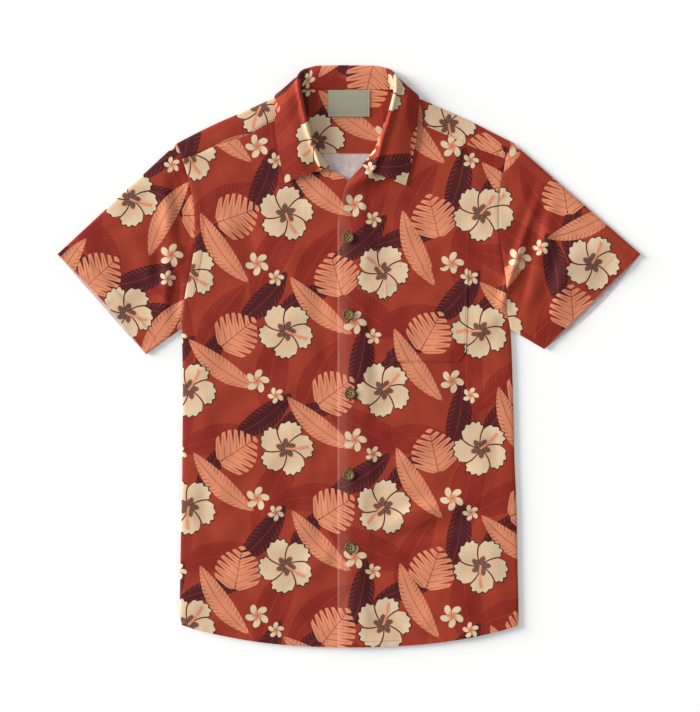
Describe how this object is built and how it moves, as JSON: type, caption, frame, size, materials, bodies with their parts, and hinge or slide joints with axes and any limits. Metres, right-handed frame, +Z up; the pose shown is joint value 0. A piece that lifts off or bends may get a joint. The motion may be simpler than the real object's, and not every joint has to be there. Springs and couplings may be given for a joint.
{
  "type": "hawaiian shirt",
  "caption": "Short-sleeved button-up shirt with an open soft collar and a chest pocket, lying flat on its back with the front lapped and buttoned.",
  "frame": {"origin": "on the table, under the middle of the shirt's box", "axes": "+X to the viewer's right, +Y towards the collar, +Z up off the table"},
  "size_m": [0.8154, 0.8132, 0.0207],
  "materials": {
    "print": "printed rayon, matt with a soft sheen",
    "label": "woven satin tape",
    "button": "turned coconut shell, satin"
  },
  "bodies": {
    "root": {"back": "print", "yoke_outer": "print", "yoke_inner": "print", "front_under": "print", "front_over": "print", "sleeve_left": "print", "sleeve_right": "print", "collar": "print", "pocket": "print", "label": "label", "button_1": "button", "button_2": "button", "button_3": "button", "button_4": "button", "button_5": "button"}
  },
  "joints": []
}
